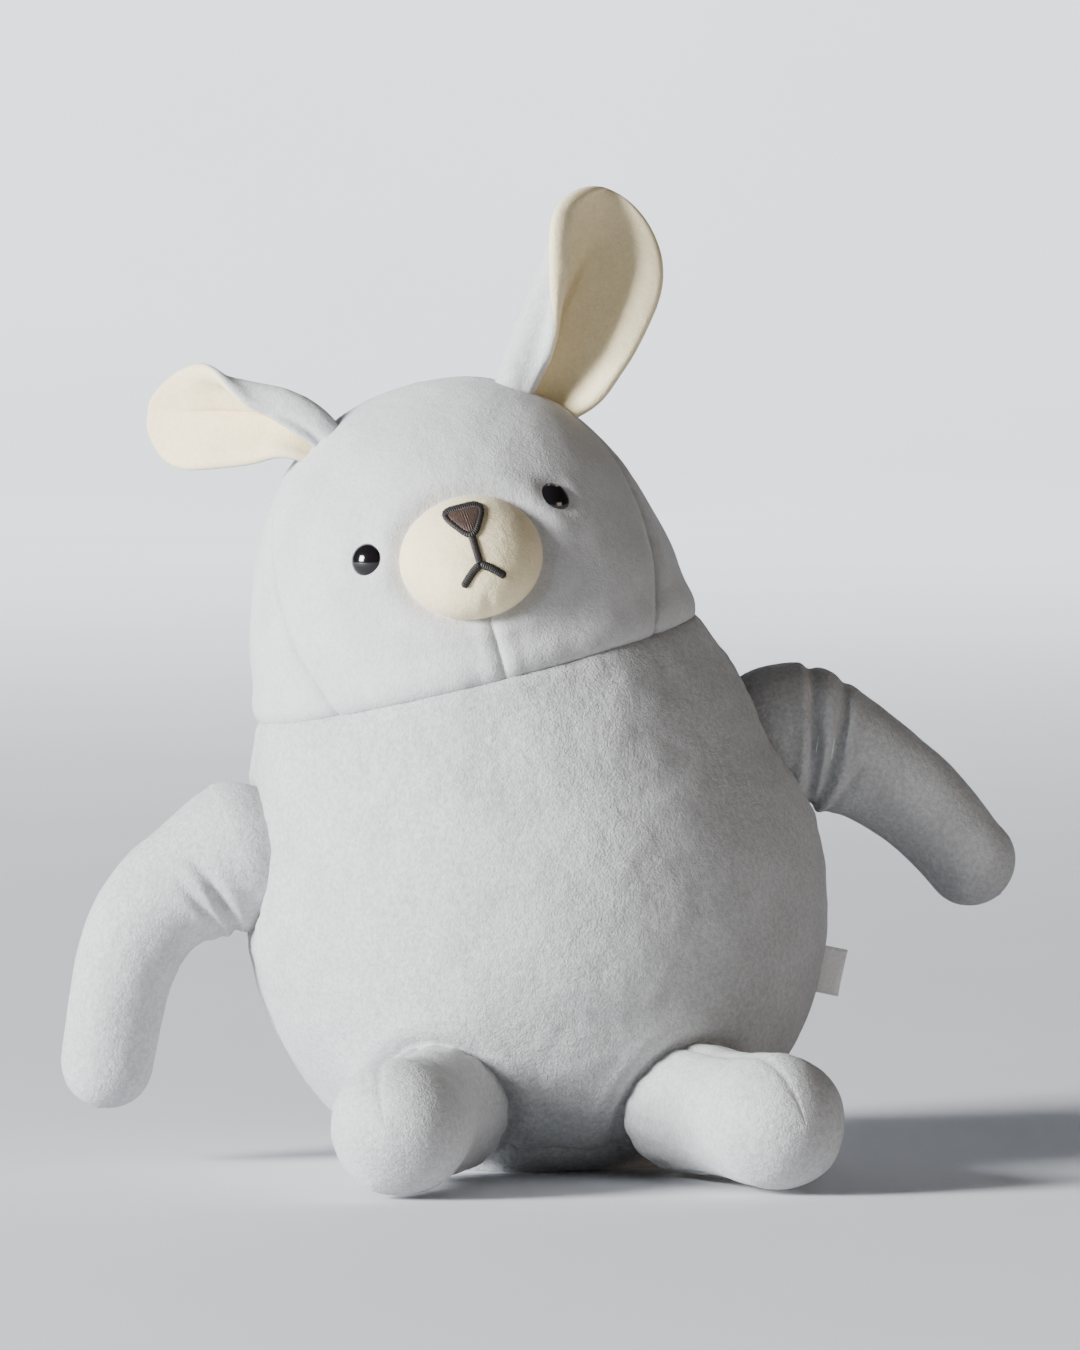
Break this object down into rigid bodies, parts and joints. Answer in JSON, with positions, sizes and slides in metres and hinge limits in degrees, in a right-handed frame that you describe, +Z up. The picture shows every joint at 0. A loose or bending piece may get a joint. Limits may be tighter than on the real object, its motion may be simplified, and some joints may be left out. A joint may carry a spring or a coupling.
{
  "type": "plush rabbit toy",
  "caption": "Seated plush rabbit with a bell-shaped body and head in one, sewn-on stuffed arms and legs, scooped lop ears, a raised muzzle and bead eyes.",
  "frame": {"origin": "centre of the flat seat, on the surface that the rabbit sits on", "axes": "+Z up, the rabbit faces -Y, +X towards its own left side; the rabbit leans towards -X"},
  "size_m": [0.2625, 0.2179, 0.2658],
  "materials": {
    "grey_plush": "short dense velour pile, soft sheen",
    "cream_plush": "short dense cream pile",
    "polyester_filling": "white polyester fibre",
    "brown_thread": "satin-stitched embroidery thread",
    "black_thread": "embroidery thread",
    "satin_label": "blank satin ribbon",
    "bag_cloth": "plain woven cotton",
    "plastic_pellets": "polyethylene granules",
    "black_bead": "polished black bead",
    "white_plastic": "moulded washer"
  },
  "bodies": {
    "torso": {"face_panel": "grey_plush", "head_back_left": "grey_plush", "head_back_right": "grey_plush", "body_front": "grey_plush", "body_back_left": "grey_plush", "body_back_right": "grey_plush", "base_panel": "grey_plush", "body_filling": "polyester_filling", "muzzle_cover": "cream_plush", "muzzle_filling": "polyester_filling", "nose_embroidery": "brown_thread", "mouth_embroidery": "black_thread", "tail_cover": "cream_plush", "tail_filling": "polyester_filling", "care_label": "satin_label", "pellet_bag": "bag_cloth", "pellets": "plastic_pellets", "left_eye": "black_bead", "right_eye": "black_bead", "left_eye_washer": "white_plastic", "right_eye_washer": "white_plastic"},
    "left_shoulder": {"left_arm_knot": "grey_plush"},
    "left_arm": {"left_arm_cover": "grey_plush", "left_arm_filling": "polyester_filling"},
    "left_leg": {"left_leg_cover": "grey_plush", "left_leg_filling": "polyester_filling"},
    "left_ear": {"left_ear_back": "grey_plush", "left_ear_lining": "cream_plush"},
    "right_shoulder": {"right_arm_knot": "grey_plush"},
    "right_arm": {"right_arm_cover": "grey_plush", "right_arm_filling": "polyester_filling"},
    "right_leg": {"right_leg_cover": "grey_plush", "right_leg_filling": "polyester_filling"},
    "right_ear": {"right_ear_back": "grey_plush", "right_ear_lining": "cream_plush"}
  },
  "joints": [
    {"name": "left_shoulder_swing", "type": "hinge", "parent": "torso", "child": "left_shoulder", "pos_m": [0.06552, 0, 0.11625], "axis": [-0.9703, 0, -0.2419], "range_deg": [-60, 75], "stiffness_Nm_per_rad": 0.02},
    {"name": "left_shoulder_raise", "type": "hinge", "parent": "left_shoulder", "child": "left_arm", "pos_m": [0.06552, 0, 0.11625], "axis": [0, -1, 0], "range_deg": [-10, 70], "stiffness_Nm_per_rad": 0.02, "springref_deg": 5.73},
    {"name": "left_hip", "type": "hinge", "parent": "torso", "child": "left_leg", "pos_m": [0.034, -0.057, 0.0189], "axis": [-1, 0, 0], "range_deg": [0, 30], "stiffness_Nm_per_rad": 0.02},
    {"name": "left_ear_flop", "type": "hinge", "parent": "torso", "child": "left_ear", "pos_m": [-0.00187, 0, 0.21379], "axis": [0, -1, 0], "range_deg": [-50, 20], "stiffness_Nm_per_rad": 0.006},
    {"name": "right_shoulder_swing", "type": "hinge", "parent": "torso", "child": "right_shoulder", "pos_m": [-0.08063, 0, 0.08239], "axis": [-0.9703, 0, -0.2419], "range_deg": [-60, 75], "stiffness_Nm_per_rad": 0.02},
    {"name": "right_shoulder_raise", "type": "hinge", "parent": "right_shoulder", "child": "right_arm", "pos_m": [-0.08063, 0, 0.08239], "axis": [0, 1, 0], "range_deg": [-10, 70], "stiffness_Nm_per_rad": 0.02, "springref_deg": 5.73},
    {"name": "right_hip", "type": "hinge", "parent": "torso", "child": "right_leg", "pos_m": [-0.034, -0.057, 0.0189], "axis": [-1, 0, 0], "range_deg": [0, 30], "stiffness_Nm_per_rad": 0.02},
    {"name": "right_ear_flop", "type": "hinge", "parent": "torso", "child": "right_ear", "pos_m": [-0.06367, 0, 0.20049], "axis": [0, 1, 0], "range_deg": [-7, 50], "stiffness_Nm_per_rad": 0.006}
  ]
}
